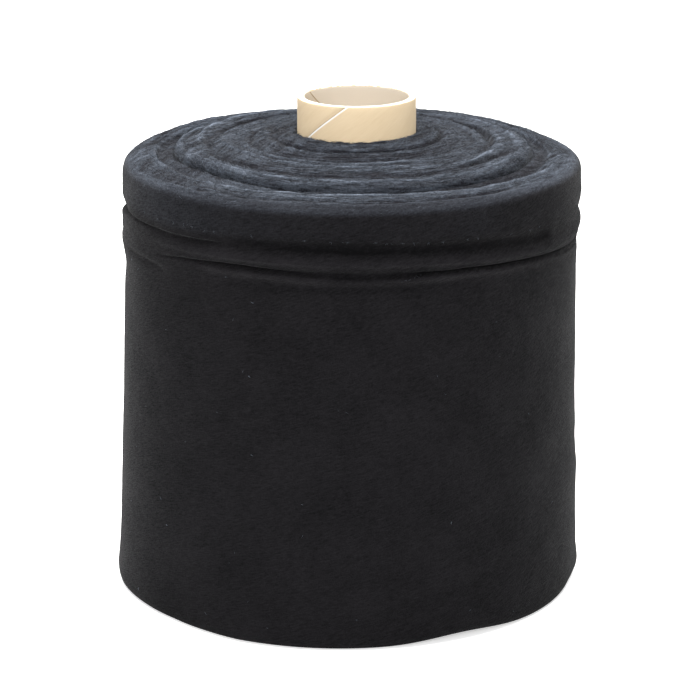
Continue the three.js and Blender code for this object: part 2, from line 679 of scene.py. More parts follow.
@dataclass(frozen=True)
class FloorFinish:
    """A pale matt studio floor, overexposed where it is looked at, so that hardly a shadow shows."""

    name: str = "matt white studio floor, painted board"
    paint: str = "f8f8f8"
    overexposure: float = 0.5

    def make(self) -> bpy.types.Material:
        """Paint the floor, and let it glow where it is looked at.

        Returns:
            The floor's material.
        """
        material, tree, shader = new_material(self.name)
        looked_at = add_node(tree, "LightPath").outputs["Is Camera Ray"]
        glow = add_math(tree, "MULTIPLY", looked_at, self.overexposure)
        look = {"Base Color": linear(self.paint), "Roughness": 0.9}
        feed(tree, shader, look | {"Emission Color": linear(WHITE), "Emission Strength": glow})
        return material


# -------------------- the wound cloth


class WindingKind(Enum):
    """Which run of turns a piece of the roll is."""

    INNER = "molton_inner_turns"
    OUTER = "molton_outer_turns"


PARTING_RADIUS = 131.9
CORE_CLEARANCE = 0.4
FLAT_STEP = 3.0
ONE_STEP = 400.0

OUTER_RUNS = (
    # the rounded edge of the foot, and the wall, which narrows upwards
    run_of(1.2, (168.6, 0.0), (171.6, 1.6), (173.0, 5.0), (173.4, 9.0)),
    run_of(
        6.0, (173.4, 9.0), (172.9, 24.0), (172.0, 45.0), (171.0, 78.0), (169.8, 115.0), (168.4, 155.0),
        (167.5, 190.0), (166.9, 222.0), (166.6, 238.0),
    ),
    # the waist and the creased wall above it
    run_of(1.6, (166.6, 238.0), (166.7, 246.0), (167.2, 258.0)),
    run_of(0.5, (167.2, 258.0), (167.7, 266.0), (168.3, 276.0), (168.6, 288.0), (168.4, 298.0)),
    # the shoulder, the crest inside it, the trough and the lip beside the inner turns
    run_of(
        0.62, (168.4, 298.0), (168.2, 306.0), (167.7, 312.4), (166.3, 316.4), (163.2, 319.4), (158.5, 321.4),
        (152.0, 322.8), (147.6, 323.1), (145.2, 322.9), (143.6, 322.0), (142.2, 320.4), (140.6, 319.6),
        (138.0, 320.0), (135.0, 321.0), (133.4, 321.4), (132.4, 321.0), (132.3, 315.0),
    ),
)
INNER_RUNS = (
    # the side that stands beside the trough
    run_of(
        0.7, (131.5, 315.0), (131.5, 319.6), (131.1, 322.4), (130.1, 324.8), (128.4, 326.6), (125.6, 327.7)
    ),
    # the slope that rises to the core
    run_of(
        0.55, (125.6, 327.7), (123.0, 328.3), (119.5, 329.0), (112.0, 330.2), (106.0, 330.6), (98.0, 331.2),
        (90.0, 331.6), (83.5, 332.0), (76.0, 332.8), (68.0, 334.4), (61.6, 336.0), (56.0, 337.4),
        (49.0, 338.6), (45.4, 338.4), (43.9, 337.0),
    ),
)


class RingWave(NamedTuple):
    """A ridge, groove or swell that follows the turns of the top. Its rise is below 0 in a groove.

    It lies at a radius at its middle azimuth and strays outwards by stray for each degree further
    round, with its own side inwards and outwards, and fades over half_arc. nap is light or shade
    painted along it: above 0 it is painted paler, as painted highlight, and below 0 darker, as painted
    shade, as in every groove. Sizes are in millimetres and angles in degrees.
    """

    radius: float
    stray: float
    rise: float
    nap: float
    inwards: float
    outwards: float
    middle: float
    half_arc: float


def ring_waves(*rows: tuple[float, ...]) -> list[RingWave]:
    """Make waves from rows of radius, stray, rise, nap, inwards, outwards, middle and half_arc."""
    return [RingWave(*row) for row in rows]


# Ridges, which are rounded, and grooves, as sharp at the bottom as where two folds meet.
# The nap column is painted light and shade along each wave, darker in every groove.
RING_WAVES = ring_waves(
    (50.0, 0.0, 0.0, -0.3, 8.0, 9.0, 0, 400),
    (62.2, 0.0, -3.2, -1.3, 2.4, 2.0, 16, 95),
    (62.4, 0.0, -1.6, -0.4, 2.0, 3.4, 92, 24),
    (72.0, -0.5, -2.4, -0.5, 5.0, 5.0, -120, 26),
    (71.5, 0.0, 0.0, -0.75, 9.0, 7.0, 4, 56),
    (79.5, 0.0, -2.2, -0.5, 6.0, 2.2, 0, 68),
    (77.3, 0.0, -1.6, -0.4, 4.0, 3.0, -98, 28),
    (86.0, 0.05, -1.8, -0.4, 4.5, 2.4, 98, 28),
    (83.4, 0.02, 0.5, 0.6, 1.6, 1.6, 0, 52),
    (89.2, 0.03, -1.9, -0.6, 3.4, 2.2, -10, 62),
    (94.5, -0.18, 1.4, 0.4, 3.0, 1.7, -70, 22),
    (99.8, 0.05, -3.2, -1.2, 3.6, 3.4, 98, 18),
    (95.4, 0.1, 0.5, 0.2, 1.6, 2.2, 2, 46),
    (107.2, -0.1, 2.2, 0.9, 2.8, 1.3, 60, 15),
    (111.6, 0.02, -3.4, -1.4, 2.2, 3.4, 58, 15),
    (115.0, 0.0, -2.4, -0.55, 8.0, 3.4, 4, 40),
    (110.0, 0.0, -2.6, -0.5, 5.0, 3.6, -50, 22),
    (107.5, -0.1, -2.4, -0.5, 4.6, 4.6, -90, 20),
    (116.0, 0.0, -0.5, -0.1, 4.6, 3.6, 92, 18),
    (111.0, -0.21, -5.0, -1.4, 6.5, 2.6, -134, 28),
    (121.0, -0.3, 1.8, 1.1, 2.0, 2.2, -122, 28),
    (123.8, 0.0, -1.4, -0.5, 2.0, 2.0, -110, 24),
    (103.0, 0.1, -4.8, -1.6, 5.5, 3.2, 124, 30),
    (117.5, -0.1, 1.6, 0.6, 3.0, 3.0, 114, 32),
    (123.6, 0.0, 0.7, 0.6, 1.8, 1.8, 0, 80),
    (128.0, 0.0, 0.9, 0.5, 1.6, 1.2, -104, 28),
    (128.0, 0.0, 0.2, 0.1, 1.6, 1.2, 104, 32),
    (131.4, 0.0, 0.0, -0.3, 1.2, 2.0, 0, 400),
    (137.0, 0.0, 0.8, 0.15, 1.8, 1.8, -82, 24),
    (111.8, 0.0, -1.8, -0.8, 2.4, 1.8, -36, 10),
    (144.6, 0.0, 0.2, 0.4, 1.8, 1.6, -28, 13),
    (150.6, 0.0, 0.3, 0.6, 1.6, 1.6, -22, 13),
    (148.0, 0.0, 0.3, 0.7, 2.4, 2.4, 26, 15),
    (145.6, 0.0, 0.4, 0.35, 1.8, 1.9, 0, 62),
    (147.0, 0.0, -2.0, -0.7, 3.4, 3.6, -107, 10),
    (154.0, -0.3, -2.0, -1.0, 2.0, 2.0, -118, 13),
    (149.0, 0.0, -1.8, -0.9, 2.0, 2.0, 131, 12),
    (146.0, 0.0, -1.6, -0.5, 4.0, 4.0, 96, 17),
    (146.6, 0.2, -2.4, -1.2, 2.0, 2.2, 61, 8),
    (149.8, 0.08, 1.1, 0.4, 2.2, 2.4, 54, 18),
    (158.6, 0.0, -1.6, -1.3, 1.8, 2.0, 31, 7),
    (157.0, 0.0, -0.5, -0.2, 4.0, 3.4, -4, 42),
    (161.8, 0.0, 0.5, 0.2, 1.8, 1.8, -8, 48),
)
# Broad swells and hollows, and broad patches of painted light and shade, all rounded.
SWELLS = ring_waves(
    (150.0, 0.0, 2.3, 0.0, 14.0, 12.0, 164, 46),
    (128.0, 0.0, 1.4, 0.0, 9.0, 6.0, 180, 90),
    (144.0, 0.0, 2.0, 0.0, 14.0, 6.0, -72, 32),
    (150.0, 0.0, 1.7, 0.0, 10.0, 9.0, -130, 22),
    (160.0, 0.0, -4.0, 0.0, 12.0, 10.0, 104, 17),
    (143.0, 0.0, -1.6, 0.0, 8.0, 8.0, 42, 27),
    (143.4, 0.0, -0.9, -0.5, 3.4, 3.0, 66, 7),
    (126.4, 0.0, 0.0, 0.5, 2.6, 3.0, -48, 16),
    (130.6, 0.0, 0.0, -0.2, 2.0, 2.0, 46, 18),
    (127.0, 0.0, -1.4, 0.0, 9.0, 6.0, 30, 18),
    (127.0, 0.0, 1.2, 0.0, 9.0, 6.0, 74, 20),
    (127.0, 0.0, 0.9, 0.0, 9.0, 6.0, -62, 26),
    (147.0, 0.0, -1.2, -0.1, 6.0, 6.0, -60, 22),
    (164.0, 0.0, 0.0, -0.25, 6.0, 9.0, 4, 52),
    (137.0, 0.0, 0.0, -0.75, 4.0, 5.0, -88, 17),
    (136.6, 0.04, 0.0, -1.0, 4.0, 2.6, 50, 27),
    (137.6, 0.0, 0.0, -0.5, 4.0, 4.6, 74, 14),
    (156.0, 0.0, 0.0, -0.7, 7.0, 8.0, -66, 13),
    (106.4, 0.0, -0.6, -0.75, 4.5, 6.0, -47, 13),
    (117.4, 0.2, -0.6, -0.7, 4.0, 3.4, 68, 9),
    (137.0, 0.0, 0.0, 0.4, 5.0, 5.0, -36, 20),
    (128.0, 0.0, 0.0, -0.4, 2.6, 3.0, 2, 46),
    (109.0, 0.0, 0.0, -0.3, 5.0, 6.0, 4, 40),
)


class Knot(NamedTuple):
    """Where a crease runs: how high it is and how deep at an azimuth, in degrees and millimetres."""

    azimuth: float
    height: float
    depth: float


class Crease(NamedTuple):
    """A crease round the wall, with a soft side above and another below, in millimetres.

    A depth below 0 makes it a bulge.
    """

    above: float
    below: float
    line: tuple[Knot, ...]


def crease(above: float, below: float, *knots: tuple[float, float, float]) -> Crease:
    """Make a crease from its sides and the azimuth, height and depth of each of its knots."""
    return Crease(above, below, tuple(Knot(*knot) for knot in knots))


CREASES = (
    crease(0.9, 1.3, (-82, 285.4, 0), (-78, 286.8, 0.8), (-72, 288.0, 1.4), (-66, 288.3, 1.0),
           (-55, 288.2, 1.5), (-48, 288.0, 1.2), (-42, 288.2, 2.0), (-35, 288.6, 1.6), (-30, 289.0, 0)),
    crease(4.2, 3.2, (-170, 273, 0), (-112, 277.2, 3.6), (-100, 281.2, 5.2), (-92, 284.6, 5.6),
           (-85, 287.2, 5.4), (-79, 288.0, 3.6), (-73, 288.2, 1.2), (-68, 288.4, 0)),
    crease(3.4, 3.0, (-36, 292.6, 0), (-26, 292.8, 0.7), (0, 292.6, 0.7), (14, 291.2, 0.7), (30, 289.8, 0.7),
           (44, 287.8, 0.7), (55, 286.8, 0)),
    crease(1.2, 3.4, (-60, 286.6, 0), (-50, 286.4, 1.4), (-38, 286.6, 1.6), (-26, 287.4, 0)),
    crease(6.4, 4.0, (-42, 290.4, 0), (-32, 290.4, 1.6), (-24, 290.4, 3.0), (-12, 290.4, 3.8),
           (0, 289.8, 3.8), (14, 288.4, 3.8), (24, 287.6, 3.8), (32, 286.6, 3.8), (42, 284.6, 3.8),
           (50, 283.4, 4.2), (55, 283.0, 3.6), (57, 282.8, 1.8), (68, 281.6, 1.6), (77, 282.4, 1.7),
           (85, 284.4, 2.1), (92, 284.8, 2.0), (140, 284, 2.0), (190, 286, 2.0), (225, 282, 0)),
    crease(0.9, 1.0, (-56, 268.8, 0), (-50, 271.0, 1.0), (-45, 272.4, 1.4), (-40, 273.3, 1.9),
           (-33, 274.4, 2.7), (-27, 274.6, 2.7), (-20, 274.1, 1.8), (-12, 273.6, 0.8), (-6, 273, 0)),
    crease(2.4, 2.2, (-40, 275.6, 0), (-26, 275.4, 0.8), (-14, 274.0, 1.2), (0, 272.8, 1.7), (12, 272.4, 1.7),
           (18, 272.4, 1.0), (26, 272.4, 0)),
    crease(0.9, 0.9, (14, 272.2, 0), (17, 272.2, 2.4), (23, 271.7, 2.8), (29, 272.0, 3.0), (37, 271.0, 3.2),
           (44, 270.6, 2.4), (50, 269.8, 1.7), (58, 268.8, 1.4), (65, 267.9, 1.2), (69, 267.2, 0.6),
           (80, 266.8, 1.5), (88, 266.8, 1.6), (150, 266, 1.6), (200, 270, 0)),
    crease(3.2, 3.0, (-66, 280, 0), (-44, 281.0, -1.6), (-30, 281.2, -2.4), (-14, 281.0, -2.7),
           (0, 280.4, -2.6), (15, 280.2, -2.6), (28, 278.6, -2.4), (40, 275.8, -1.9), (52, 274.4, -1.7),
           (60, 272.8, -1.6), (70, 272.6, -1.8), (78, 275.0, -1.0), (85, 276.4, -0.8), (100, 276, -0.8),
           (140, 274, 0)),
    crease(1.3, 3.4, (-42, 270.6, 0), (-34, 271.0, -1.8), (-26, 271.2, -2.4), (-16, 270.6, -2.0),
           (-6, 269.4, -1.0), (4, 268.4, -0.8), (12, 269.0, -1.6), (18, 269.6, -2.4), (28, 269.4, -2.6),
           (36, 268.4, -2.0), (46, 267.2, -1.2), (56, 265.6, -1.2), (64, 263.6, -1.2), (76, 262.6, -1.2),
           (84, 259, 0)),
    crease(3.0, 4.0, (-36, 263, 0), (-26, 263.4, 0.7), (-14, 263.2, 1.1), (0, 262.8, 1.0), (12, 262.8, 1.0),
           (22, 263, 0.6), (30, 263, 0)),
    crease(2.6, 3.6, (-80, 262, 0), (-70, 261.4, 1.4), (-60, 261.0, 1.6), (-54.5, 260.6, 1.0), (-51, 260, 0)),
    crease(4.0, 4.0, (-120, 291, 0), (-88, 292, 0.6), (-74, 292, 0)),
    crease(4.0, 4.0, (-120, 276, 0), (-88, 277, 0.9), (-72, 277, 0)),
    crease(2.0, 2.0, (-120, 268, 0), (-88, 269, 1.2), (-78, 270, 0)),
    crease(5.0, 7.0, (-120, 260, 0), (-90, 260, -0.9), (-70, 266, -0.8), (-56, 269, 0)),
    crease(7.0, 9.0, (-120, 242, 0), (-90, 243, 1.4), (-66, 245, 0)),
    crease(18.0, 9.0, (-140, 300, 0), (-112, 300, 0.9), (-76, 300, 0.9), (-50, 300, 0)),
    crease(3.0, 4.0, (62, 315, 0), (82, 315, -0.9), (104, 315, -0.9), (135, 315, 0)),
    crease(10.0, 6.0, (62, 298, 0), (82, 298, -0.6), (104, 298, -0.6), (135, 298, 0)),
    crease(4.0, 8.0, (70, 262, 0), (84, 264, 1.0), (104, 264, 1.0), (135, 262, 0)),
    crease(7.0, 6.0, (-12, 24, 0), (2, 33, -0.9), (20, 45, -1.0), (36, 56, -0.7), (48, 62, 0)),
    crease(5.0, 6.0, (-2, 20, 0), (12, 28, 0.7), (30, 41, 0.8), (44, 51, 0)),
    crease(8.0, 9.0, (52, 128, 0), (64, 120, 0.9), (78, 112, 1.1), (94, 102, 0)),
    crease(8.0, 9.0, (54, 102, 0), (66, 95, -0.9), (80, 88, -0.9), (96, 80, 0)),
    crease(10.0, 12.0, (-104, 5, 0), (-74, 5, -1.5), (-60, 5, 0.2), (-48, 5, 1.4), (-37, 5, 0),
           (-27, 5, -2.2), (-12, 5, -1.4), (4, 5, 0)),
    crease(6.0, 5.0, (60, 9, 0), (84, 11, -1.8), (102, 11, -1.8), (120, 9, 0)),
    crease(14.0, 12.0, (44, 4, 0), (60, 4, 0.6), (76, 4, 2.2), (90, 4, 0)),
)


class Draw(NamedTuple):
    """Where the edge of the inner turns is drawn in towards the core, with the trough beside it.

    It is deepest at its middle azimuth and fades over half_arc. It fades inwards to the radius
    inside, and outwards to the radius outside. Sizes are in millimetres and angles in degrees.
    """

    middle: float
    half_arc: float
    depth: float
    inside: float
    outside: float


DRAWS = (
    Draw(middle=-50, half_arc=22, depth=7.2, inside=110, outside=148),
    Draw(middle=46, half_arc=19, depth=1.8, inside=108, outside=142),
)


@dataclass(frozen=True)
class Brushing:
    """The way the nap lies: along the turns at the front and back, and brushed aslant at the sides.

    heading is the brushed way in degrees from +X towards +Y.
    """

    heading: float = 55.0
    front_share: float = 0.15
    side_share: float = 0.9

    def aslant(self, points: Array) -> Array:
        """How far the nap is brushed aslant at each point, from 0 to 1."""
        sideways = points[:, 0] ** 2 / (points[:, 0] ** 2 + points[:, 1] ** 2 + TINY)
        return self.front_share + (self.side_share - self.front_share) * sideways

    def ways(self, points: Array) -> Array:
        """Find the level direction that the nap lies in.

        Args:
            points: n rows of x, y and z.

        Returns:
            A unit vector for each point.
        """
        around = np.stack([-points[:, 1], points[:, 0], np.zeros(len(points))], axis=1)
        around /= np.linalg.norm(around, axis=1)[:, None]
        heading = math.radians(self.heading)
        brushed = np.array([math.cos(heading), math.sin(heading), 0.0])
        around *= np.where(around @ brushed < 0, -1.0, 1.0)[:, None]
        share = self.aslant(points)[:, None]
        way = around * (1 - share) + brushed * share
        return way / np.linalg.norm(way, axis=1)[:, None]


class Relief(NamedTuple):
    """How far places rise in millimetres, and the light or shade painted on them, about -1 to 1."""

    rise: Array
    nap: Array


@dataclass
class WoundMolton:
    """The cloth as it is wound: a closed shell with its turns, rings and creases.

    Sizes are in millimetres. turn is the pitch of the folded cloth, turn_rise how far a turn's fold
    stands above the valleys beside it, and clump_rise how far matted nap stands up. Crests that
    stand proud over a near or a far span are painted paler by their shares, as painted highlight, and
    grooves darker, as painted shade. Where the wall is pressed in it is painted darker, as painted
    shade, its bulges are painted paler, and round its right side it is painted darker, as painted shade.
    """

    kind: WindingKind
    steps: int
    turn: float = 2.8
    turn_rise: float = 0.35
    turn_stagger: float = 0.35
    clump_rise: float = 0.7
    # How much paler raised clumps and how much darker sunk ones are painted, as painted light and shade.
    clump_painted_light: float = 0.62
    nap_height: float = 0.12
    nap_slant: float = 2.7
    core_x: float = 5.7
    core_edge: float = 43.7
    foot_x: float = -0.9
    foot_edge: float = 173.4
    shoulder_x: float = 2.0
    shoulder_height: float = 323.0
    top_height: float = 312.0
    wall_start: float = 160.0
    # What follows sets the light and shade painted into the cloth's colour: paler on crests and bulges,
    # darker in grooves, in the creases, in the trench and round the right side of the wall.
    near_span: float = 1.5
    near_share: float = 0.3
    far_span: float = 5.0
    far_share: float = 0.1
    nap_share: float = 0.6
    painted_crease_shade: float = 0.11
    deepest_painted_shade: float = 0.36
    painted_bulge_light: float = -0.3
    painted_side_shade: float = 0.3
    painted_side_middle: float = 62.0
    painted_side_arc: float = 24.0
    painted_trench_shade: float = 0.18
    full_crest: float = 0.5
    palest_crest: float = 1.5
    brushing: Brushing = Brushing()

    def outline(self) -> list[Station]:
        """Close the section of this run of turns.

        Returns:
            The section's stations in order.
        """
        if self.kind is WindingKind.INNER:
            bore = Station(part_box(CORE_NODE)[1].x / MM - self.core_x + CORE_CLEARANCE, 0.0)
            edge = Station(INNER_RUNS[0].stations[0].radius, 0.0)
            side = Run(ONE_STEP, (edge, INNER_RUNS[0].stations[0]))
            bore_wall = Run(ONE_STEP, (INNER_RUNS[-1].stations[-1], bore))
            return join_runs(Run(FLAT_STEP, (bore, edge)), side, *INNER_RUNS, bore_wall)
        edge = Station(OUTER_RUNS[-1].stations[-1].radius, 0.0)
        side = Run(ONE_STEP, (OUTER_RUNS[-1].stations[-1], edge))
        return join_runs(Run(FLAT_STEP, (edge, OUTER_RUNS[0].stations[0])), *OUTER_RUNS, side)

    def make(self) -> Piece:
        """Wind the run of turns, shape it and set it in its place.

        Returns:
            The run of turns, as a closed shell.
        """
        shell = turn_section(self.kind.value, self.outline(), self.steps)
        points = points_of(shell) / MM
        at = places_of(points)
        radius, azimuth, height = at
        top = rise(300.0, 316.0, height) * fall(150.0, 168.0, radius)
        keep(shell, "aslant", self.brushing.aslant(points) * top * (1 - bell(radius - 131.4, 2.0)))
        lie = set_round(radius, azimuth - self.nap_slant * height / radius.max(), height)
        keep(shell, "wrap", lie * MM)
        keep(shell, "fluff_and_painted_sheen", self.fluff_and_painted_sheen(at))
        lift, nap = self.turn_lift(at)
        press = self.crease_press(at) * rise(150.0, 164.0, radius)
        ruffle = self.wall_ruffle(points) * rise(self.wall_start, 166.0, radius) * rise(2.0, 14.0, height)
        reach = (radius - press + ruffle + self.crest_spread(at) - self.drawn_in(at)) / radius
        points[:, :2] *= reach[:, None]
        points[:, 2] = np.maximum(height + lift + self.foot_lift(at), 0.0)
        # Crests that stand proud are painted paler, as painted highlight, and grooves darker, as painted
        # shade.
        proud = self.near_share * stand_proud(shell, points, self.steps, self.near_span)
        proud += self.far_share * stand_proud(shell, points, self.steps, self.far_span)
        # The trench beside the inner turns is painted darker, as painted shade.
        trench = rise(PARTING_RADIUS, PARTING_RADIUS + 0.3, radius) * fall(140.5, 143.5, radius)
        trench = trench * rise(self.top_height, 316.0, height)
        proud = proud * (1 - trench) - self.painted_trench_shade * trench
        wall = rise(self.wall_start, 165.0, radius) * fall(self.top_height, 317.0, height)
        # Painted shade on the wall: darker where the creases press in, paler on the bulges, darker round the
        # right side.
        flat = np.clip(self.painted_crease_shade * press, self.painted_bulge_light, self.deepest_painted_shade)
        flat = flat + self.painted_side_shade * bell(at.degrees - self.painted_side_middle, self.painted_side_arc)
        # tone and crest carry this painted light and shade, and the rings' and clumps', into the cloth's
        # colour.
        tone = (proud + self.nap_share * nap) * (1 - wall) - flat * wall
        crest = np.clip(self.full_crest + 0.03 * (1 - wall) + tone, 0.0, self.palest_crest)
        keep(shell, "crest", crest)
        points[:, 0] += self.drift(at)
        place_points(shell, points * MM)
        return shell

    def fluff_and_painted_sheen(self, at: Places) -> Array:
        """How far the nap is fluffed open, and painted paler and cooler as sheen, from 0 on the wall to 1 on
        the top.

        At the front it opens in two steps over the shoulder. A band above the creases is a little open
        too, and so painted a little paler as sheen, most of all at the left.

        Args:
            at: where the points lie.

        Returns:
            A number for each point.
        """
        height = at.height
        band = 0.02 + 0.22 * bell(at.degrees + 62.0, 32.0) + 0.05 * bell(at.degrees - 31.0, 6.0)
        band *= rise(290.0, 298.0, height)
        front = fall(20.0, 60.0, np.abs(at.degrees))
        ledge = 0.3 * rise(312.5, 316.0, height) + 0.7 * rise(319.4, 322.0, height)
        crown = (1 - front) * rise(314.5, 321.0, height) + front * ledge
        return band + (1 - band) * crown

    def crest_spread(self, at: Places) -> Array:
        """How far the outer ring's inner crest is drawn in, in millimetres: most at the front."""
        crest = bell(at.radius - 144.0, 6.0) * rise(317.0, 320.0, at.height)
        return -2.8 * crest * (at.radius > PARTING_RADIUS + 4) * fall(0.2, 1.0, np.abs(at.azimuth))

    def drawn_in(self, at: Places) -> Array:
        """How far the edge of the inner turns is drawn in.

        Args:
            at: where the points lie.

        Returns:
            Millimetres for each point.
        """
        inwards = np.zeros(len(at.radius))
        for draw in DRAWS:
            across = rise(draw.inside, PARTING_RADIUS, at.radius)
            across = across * fall(PARTING_RADIUS + 1, draw.outside, at.radius)
            inwards += draw.depth * bell(at.degrees - draw.middle, draw.half_arc) * across
        return inwards * rise(200.0, 315.0, at.height)

    def foot_lift(self, at: Places) -> Array:
        """How far the foot is lifted off the floor at its front right, in millimetres."""
        away = bell(at.degrees - 29.0, 13.0)
        return 4.0 * away * fall(4.0, 34.0, at.height) * rise(138.0, 166.0, at.radius)

    def turn_lift(self, at: Places) -> Relief:
        """How far the turns of the top or foot rise over its section.

        Args:
            at: where the points lie.

        Returns:
            The rise, and the light and shade painted from the rings and clumps, at each point.
        """
        radius, azimuth, height = at
        ahead = set_round(radius, azimuth, radius)
        circle = np.stack([np.sin(azimuth), np.cos(azimuth), np.zeros(len(radius))], axis=1)
        wander = 0.6 * lattice_noise(circle * 2.3 + np.array([3.1, 0.4, 8.0]), 5)
        wander += 0.25 * grain(ahead, 22.0, 22.0, 6.0, 7)
        phase = radius / self.turn - azimuth / FULL_TURN + wander
        share = phase - np.floor(phase)
        fold = 1 - (2 * share - 1) ** 2
        lane = [np.floor(phase) * 7.3, np.sin(azimuth) * radius / 24, np.cos(azimuth) * radius / 24]
        stagger = lattice_noise(np.stack(lane, axis=1), 11)
        rings = self.ring_relief(at)
        matted = self.clumps(np.stack([ahead[:, 0], ahead[:, 1], radius - 0.7 * height], axis=1))
        level = 1 - 0.7 * self.brushing.aslant(ahead)
        turns = level * (self.turn_rise * (fold - 0.67) + self.turn_stagger * stagger)
        turns += self.clump_rise * matted + rings.rise
        turns += 0.35 * lattice_noise(circle * 1.9 + np.array([0.0, 0.0, 1.0]) * radius[:, None] / 6.5, 13)
        swell = 0.4 * lattice_noise(circle * 1.4 + radius[:, None] / 30, 23)
        swell += 0.5 * lattice_noise(circle * 11.0, 45) * bell(radius - 46.5, 3.0)
        crown = rise(self.top_height, 320.0, height) * fall(158.0, 166.0, radius) * rise(43.0, 46.0, radius)
        foot = fall(0.0, 1.0, height) * fall(self.wall_start, 166.0, radius)
        lift = crown * (turns + swell) + foot * np.maximum(0.7 * (0.5 - fold), 0.0)
        # Raised clumps are painted paler and sunk ones darker, as painted light and shade.
        return Relief(lift, crown * (rings.nap + self.clump_painted_light * matted))

    def ring_relief(self, at: Places) -> Relief:
        """How the ridges, grooves and swells shape the top.

        Args:
            at: where the points lie.

        Returns:
            The rise and the nap at each point.
        """
        lift, nap = np.zeros((2, len(at.radius)))
        for wave, folded in [(w, w.rise < 0) for w in RING_WAVES] + [(w, False) for w in SWELLS]:
            away = turned_from(at.degrees, wave.middle)
            side = two_sided(at.radius - wave.radius - wave.stray * away, -wave.inwards, wave.outwards)
            arc = bell(away, wave.half_arc)
            lift += wave.rise * arc * (np.clip(1 - side / 1.8, 0.0, 1.0) ** 2 if folded else bell(side, 1.0))
            # Each wave's nap is painted light or shade along it.
            nap += wave.nap * arc * bell(side, 1.0)
        return Relief(lift, nap)

    def clumps(self, ahead: Array) -> Array:
        """How matted the nap is.

        Args:
            ahead: n rows of x, y and radius, in millimetres.

        Returns:
            A number for each point, from about -1 to 1.
        """
        heading = math.radians(self.brushing.heading)
        along = ahead[:, 0] * math.cos(heading) + ahead[:, 1] * math.sin(heading)
        aside = ahead[:, 1] * math.cos(heading) - ahead[:, 0] * math.sin(heading)
        turned = grain(ahead, 15.0, 15.0, 2.3, 17) + 0.6 * grain(ahead, 8.0, 8.0, 1.4, 19)
        bent = np.stack([along, aside + 3.0 * grain(ahead, 14.0, 14.0, 14.0, 43), ahead[:, 2]], axis=1)
        brushed = grain(bent, 21.0, 4.4, 60.0, 29) + 0.7 * grain(bent, 11.0, 2.6, 60.0, 31)
        share = self.brushing.aslant(ahead)
        return (turned * (1 - share) + brushed * share) / np.hypot(share, 1 - share) * 0.8

    def crease_press(self, at: Places) -> Array:
        """How deep the creases press the wall in.

        Args:
            at: where the points lie.

        Returns:
            Millimetres for each point.
        """
        press = np.zeros(len(at.height))
        for groove in CREASES:
            knots, lies, depths = np.array(groove.line, float).T
            middle = (knots[0] + knots[-1]) / 2
            round_to = turned_from(at.degrees, middle) + middle
            side = two_sided(at.height - np.interp(round_to, knots, lies), groove.below, groove.above)
            press += np.interp(round_to, knots, depths, left=0.0, right=0.0) * bell(side, 1.0)
        return press

    def wall_ruffle(self, points: Array) -> Array:
        """How far the wall swells in and out between creases, in millimetres."""
        broad, close = grain(points, 70.0, 70.0, 45.0, 31), grain(points, 16.0, 16.0, 9.0, 37)
        return 0.55 * broad + 0.12 * close + self.nap_height * grain(points, 5.0, 5.0, 1.8, 41)

    def drift(self, at: Places) -> Array:
        """Where the middle of the winding lies on X, in millimetres."""
        outline = self.foot_x + (self.shoulder_x - self.foot_x) * at.height / self.shoulder_height
        return self.core_x + (outline - self.core_x) * rise(self.core_edge, self.foot_edge, at.radius)


# -------------------- the raised nap


class Bed(NamedTuple):
    """Where fibres grow: places in millimetres, the outward way at each, and how pale each is: the light and
    shade painted on the cloth below, or a tone of its own.
    """

    places: Array
    outward: Array
    crest: Array


def model_tuft() -> tuple[Array, Array]:
    """Model one pointed tuft, lying along +X with its root at the origin.

    Returns:
        The tuft's points, one long and one wide, and its triangles.
    """
    deselect_all()
    bpy.ops.mesh.primitive_cone_add(vertices=3, radius1=0.5, radius2=0.0, depth=1.0, end_fill_type="TRIFAN")
    tuft = bpy.context.object
    bpy.ops.object.mode_set(mode="EDIT")
    bpy.ops.mesh.select_all(action="SELECT")
    bpy.ops.mesh.dissolve_limited(angle_limit=0.02)
    bpy.ops.mesh.quads_convert_to_tris()
    bpy.ops.mesh.normals_make_consistent(inside=False)
    bpy.ops.object.mode_set(mode="OBJECT")
    standing = points_of(tuft)
    lying = np.stack([standing[:, 2] + 0.5, standing[:, 1], -standing[:, 0]], axis=1)
    triangles = np.array([list(face.vertices) for face in tuft.data.polygons])
    mesh = tuft.data
    bpy.data.objects.remove(tuft)
    bpy.data.meshes.remove(mesh)
    return lying, triangles


def sow(shell: Piece, count: int, zone: Callable, seed: int) -> Bed:
    """Choose places all over part of a shell.

    Args:
        shell: the shell, with four-sided faces.
        count: how many places.
        zone: gives how thickly to sow at places in millimetres, given them and the outward ways.
        seed: which random sowing.

    Returns:
        The places chosen.
    """
    rng = np.random.default_rng(seed)
    mesh = shell.data
    corners = read_all(mesh.loops, "vertex_index", kind=np.int32).reshape(-1, 4)
    crest = read_all(mesh.attributes["crest"].data, "value", kind=np.float32)[corners[:, 0]]
    quads = points_of(shell)[corners] / MM
    outward = read_all(mesh.polygons, "normal", 3)
    thickness = read_all(mesh.polygons, "area") * zone(quads.mean(axis=1), outward)
    thickness = thickness * (0.15 + 0.85 * rise(0.0, 0.45, crest))
    chosen = rng.choice(len(quads), count, p=thickness / thickness.sum())
    u, v = rng.random((2, count, 1))
    a, b, c, d = (quads[chosen, corner] for corner in range(4))
    places = (a * (1 - u) + b * u) * (1 - v) + (d * (1 - u) + c * u) * v
    return Bed(places, outward[chosen], crest[chosen])


